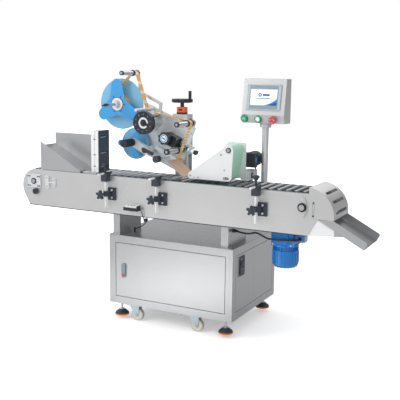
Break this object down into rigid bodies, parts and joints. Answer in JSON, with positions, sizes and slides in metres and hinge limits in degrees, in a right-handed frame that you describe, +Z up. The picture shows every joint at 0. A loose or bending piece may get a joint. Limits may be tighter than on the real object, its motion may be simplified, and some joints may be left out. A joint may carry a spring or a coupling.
{
  "type": "round bottle labelling machine",
  "caption": "Labelling machine for small round bottles: cabinet on castors, roller track with feed hopper and chute, label head on a lifting column, wrap belt unit and control box.",
  "frame": {"origin": "on the floor under the middle of the machine's bounding box", "axes": "+X along the track towards the chute, +Y from the door side to the back, +Z up"},
  "size_m": [2.1831, 0.6974, 1.4671],
  "materials": {
    "frame_steel": "brushed stainless sheet",
    "panel_steel": "brushed stainless sheet",
    "stainless": "brushed stainless sheet",
    "latch_black": "moulded",
    "red_button": "moulded red plastic",
    "foot_black": "dark coated steel",
    "foot_rubber": "orange rubber",
    "castor_steel": "zinc plated pressing",
    "castor_plastic": "cream nylon",
    "chain_steel": "oiled chain",
    "roller_steel": "ground steel",
    "shaft_steel": "ground steel",
    "motor_blue": "blue enamel",
    "cable_black": "black cable jacket",
    "gate_black": "dark panel",
    "black_part": "moulded black plastic",
    "chrome_post": "polished tube",
    "painted_cream": "light enamel",
    "green_belt": "green belt",
    "motor_black": "black motor housing",
    "column_aluminium": "anodised",
    "head_aluminium": "anodised plate",
    "blue_acrylic": "clear blue acrylic",
    "web_roller": "anodised roller with black collars",
    "roller_rubber": "black rubber",
    "peel_paper": "backing paper over the peel plate",
    "web_paper": "label web",
    "box_grey": "light grey enamel",
    "screen_panel": "panel with glass screen",
    "green_button": "moulded green plastic",
    "white_button": "moulded white plastic"
  },
  "bodies": {
    "machine": {"cabinet_frame": "frame_steel", "cabinet_panels": "panel_steel", "levelling_feet": "foot_black", "foot_pads": "foot_rubber", "pedestals": "stainless", "side_plates": "stainless", "chain_bed": "stainless", "track_chains": "chain_steel", "track_rollers": "roller_steel", "shaft_bearings": "stainless", "end_hood": "stainless", "chute": "stainless", "gear_motor": "motor_blue", "cables": "cable_black", "feed_hopper": "stainless", "gate_panel": "gate_black", "guide_brackets": "black_part", "sensor_amplifier": "black_part", "support_posts": "chrome_post", "head_column": "column_aluminium"},
    "door": {"cabinet_door": "panel_steel"},
    "latch": {"latch_handle": "latch_black"},
    "latch_push": {"latch_button": "red_button"},
    "drive_axle": {"drive_shaft": "shaft_steel"},
    "idler_axle": {"idler_shaft": "shaft_steel"},
    "guides": {"guide_posts": "black_part"},
    "wrap_unit": {"wrap_frame": "painted_cream", "wrap_belt": "green_belt", "wrap_motor": "motor_black"},
    "wrap_top": {"wrap_top_roller": "roller_steel"},
    "wrap_left": {"wrap_left_roller": "roller_steel"},
    "wrap_right": {"wrap_right_roller": "roller_steel"},
    "label_head": {"head_plate": "head_aluminium", "peel_plate": "peel_paper", "label_web": "web_paper", "web_lead": "web_paper"},
    "hand_wheel": {"handwheel": "black_part"},
    "supply": {"supply_reel": "blue_acrylic"},
    "takeup": {"takeup_reel": "blue_acrylic"},
    "clutch": {"clutch_wheel": "black_part"},
    "knob": {"tension_knob": "black_part"},
    "dancer": {"dancer_arm": "head_aluminium"},
    "dancer_roll": {"dancer_roller": "web_roller"},
    "corner_roll": {"corner_roller": "web_roller"},
    "drive_roll": {"drive_roller": "web_roller"},
    "pinch": {"pinch_arm": "head_aluminium"},
    "pinch_roll": {"pinch_roller": "roller_rubber"},
    "control_head": {"control_box": "box_grey", "touch_screen": "screen_panel"},
    "start": {"start_button": "green_button"},
    "reset": {"reset_button": "white_button"},
    "stop": {"stop_button": "red_button"},
    "castor_1": {"castor_fork_1": "castor_steel"},
    "wheel_1": {"castor_wheel_1": "castor_plastic"},
    "castor_2": {"castor_fork_2": "castor_steel"},
    "wheel_2": {"castor_wheel_2": "castor_plastic"},
    "castor_3": {"castor_fork_3": "castor_steel"},
    "wheel_3": {"castor_wheel_3": "castor_plastic"},
    "castor_4": {"castor_fork_4": "castor_steel"},
    "wheel_4": {"castor_wheel_4": "castor_plastic"}
  },
  "joints": [
    {"name": "door_hinge", "type": "hinge", "parent": "machine", "child": "door", "pos_m": [0.31544, -0.26825, 0.147], "axis": [0, 0, 1], "range_deg": [0, 110]},
    {"name": "latch_turn", "type": "hinge", "parent": "door", "child": "latch", "pos_m": [-0.33456, -0.27325, 0.338], "axis": [0, -1, 0], "range_deg": [0, 90]},
    {"name": "latch_press", "type": "slide", "parent": "latch", "child": "latch_push", "axis": [0, 1, 0], "range_m": [0, 0.002], "stiffness_N_per_m": 1200},
    {"name": "castor_1_swivel", "type": "hinge", "parent": "machine", "child": "castor_1", "pos_m": [-0.28056, -0.22825, 0.102], "axis": [0, 0, 1], "continuous": true},
    {"name": "castor_1_roll", "type": "hinge", "parent": "castor_1", "child": "wheel_1", "pos_m": [-0.26656, -0.22825, 0.0375], "axis": [0, 1, 0], "continuous": true},
    {"name": "castor_2_swivel", "type": "hinge", "parent": "machine", "child": "castor_2", "pos_m": [-0.28056, 0.30375, 0.102], "axis": [0, 0, 1], "continuous": true},
    {"name": "castor_2_roll", "type": "hinge", "parent": "castor_2", "child": "wheel_2", "pos_m": [-0.26656, 0.30375, 0.0375], "axis": [0, 1, 0], "continuous": true},
    {"name": "castor_3_swivel", "type": "hinge", "parent": "machine", "child": "castor_3", "pos_m": [0.11744, -0.22825, 0.102], "axis": [0, 0, 1], "continuous": true},
    {"name": "castor_3_roll", "type": "hinge", "parent": "castor_3", "child": "wheel_3", "pos_m": [0.13144, -0.22825, 0.0375], "axis": [0, 1, 0], "continuous": true},
    {"name": "castor_4_swivel", "type": "hinge", "parent": "machine", "child": "castor_4", "pos_m": [0.11744, 0.30375, 0.102], "axis": [0, 0, 1], "continuous": true},
    {"name": "castor_4_roll", "type": "hinge", "parent": "castor_4", "child": "wheel_4", "pos_m": [0.13144, 0.30375, 0.0375], "axis": [0, 1, 0], "continuous": true},
    {"name": "drive_spin", "type": "hinge", "parent": "machine", "child": "drive_axle", "pos_m": [0.74644, -0.27325, 0.784], "axis": [0, 1, 0], "continuous": true},
    {"name": "idler_spin", "type": "hinge", "parent": "machine", "child": "idler_axle", "pos_m": [-0.99756, -0.27325, 0.784], "axis": [0, 1, 0], "continuous": true},
    {"name": "guide_lift", "type": "slide", "parent": "machine", "child": "guides", "axis": [0, 0, 1], "range_m": [-0.005, 0.04]},
    {"name": "wrap_lift", "type": "slide", "parent": "machine", "child": "wrap_unit", "axis": [0, 0, 1], "range_m": [-0.004, 0.05]},
    {"name": "wrap_top_spin", "type": "hinge", "parent": "wrap_unit", "child": "wrap_top", "pos_m": [0.30044, -0.27325, 1.046], "axis": [0, 1, 0], "continuous": true},
    {"name": "wrap_left_spin", "type": "hinge", "parent": "wrap_unit", "child": "wrap_left", "pos_m": [0.06844, -0.27325, 0.893], "axis": [0, 1, 0], "continuous": true},
    {"name": "wrap_right_spin", "type": "hinge", "parent": "wrap_unit", "child": "wrap_right", "pos_m": [0.27944, -0.27325, 0.893], "axis": [0, 1, 0], "continuous": true},
    {"name": "head_lift", "type": "slide", "parent": "machine", "child": "label_head", "axis": [0, 0, 1], "range_m": [-0.01, 0.06]},
    {"name": "handwheel_turn", "type": "hinge", "parent": "machine", "child": "hand_wheel", "pos_m": [-0.11156, 0.01775, 0.102], "axis": [0, 0, 1], "continuous": true},
    {"name": "supply_spin", "type": "hinge", "parent": "label_head", "child": "supply", "pos_m": [-0.48441, -0.27325, 1.26446], "axis": [0, 1, 0], "continuous": true},
    {"name": "takeup_spin", "type": "hinge", "parent": "label_head", "child": "takeup", "pos_m": [-0.38877, -0.27325, 1.03248], "axis": [0, 1, 0], "continuous": true},
    {"name": "clutch_spin", "type": "hinge", "parent": "label_head", "child": "clutch", "pos_m": [-0.26824, -0.27325, 1.16637], "axis": [0, 1, 0], "continuous": true},
    {"name": "knob_turn", "type": "hinge", "parent": "label_head", "child": "knob", "pos_m": [-0.15454, -0.27325, 1.07924], "axis": [0, -1, 0], "range_deg": [-135, 135]},
    {"name": "dancer_swing", "type": "hinge", "parent": "label_head", "child": "dancer", "pos_m": [-0.23074, -0.27325, 1.21761], "axis": [0, 1, 0], "range_deg": [0, 22], "deforming": ["web_lead"]},
    {"name": "dancer_roll_spin", "type": "hinge", "parent": "dancer", "child": "dancer_roll", "pos_m": [-0.37773, -0.27325, 1.44913], "axis": [0, 1, 0], "continuous": true},
    {"name": "corner_spin", "type": "hinge", "parent": "label_head", "child": "corner_roll", "pos_m": [-0.0162, -0.27325, 1.17028], "axis": [0, 1, 0], "continuous": true},
    {"name": "drive_roller_spin", "type": "hinge", "parent": "label_head", "child": "drive_roll", "pos_m": [-0.08039, -0.27325, 1.01424], "axis": [0, 1, 0], "continuous": true},
    {"name": "pinch_swing", "type": "hinge", "parent": "label_head", "child": "pinch", "pos_m": [-0.27044, -0.27325, 1.00311], "axis": [0, 1, 0], "range_deg": [-10, 25]},
    {"name": "pinch_roll_spin", "type": "hinge", "parent": "pinch", "child": "pinch_roll", "pos_m": [-0.35935, -0.27325, 1.04764], "axis": [0, 1, 0], "continuous": true},
    {"name": "box_swivel", "type": "hinge", "parent": "machine", "child": "control_head", "pos_m": [0.41444, 0.02675, 0.102], "axis": [0, 0, 1], "range_deg": [-40, 40]},
    {"name": "start_press", "type": "slide", "parent": "control_head", "child": "start", "axis": [0, 0.9676, 0.2524], "range_m": [0, 0.004], "stiffness_N_per_m": 900},
    {"name": "reset_press", "type": "slide", "parent": "control_head", "child": "reset", "axis": [0, 0.9676, 0.2524], "range_m": [0, 0.004], "stiffness_N_per_m": 900},
    {"name": "stop_press", "type": "slide", "parent": "control_head", "child": "stop", "axis": [0, 0.9676, 0.2524], "range_m": [0, 0.004]}
  ],
  "couplings": [
    {"joint": "idler_spin", "follows": "drive_spin", "ratio": 1},
    {"joint": "wrap_left_spin", "follows": "wrap_top_spin", "ratio": 1.2941},
    {"joint": "wrap_right_spin", "follows": "wrap_top_spin", "ratio": 1.2941},
    {"joint": "corner_spin", "follows": "drive_roller_spin", "ratio": 1.1333},
    {"joint": "handwheel_turn", "follows": "head_lift", "rad_per_m": 628.32}
  ]
}
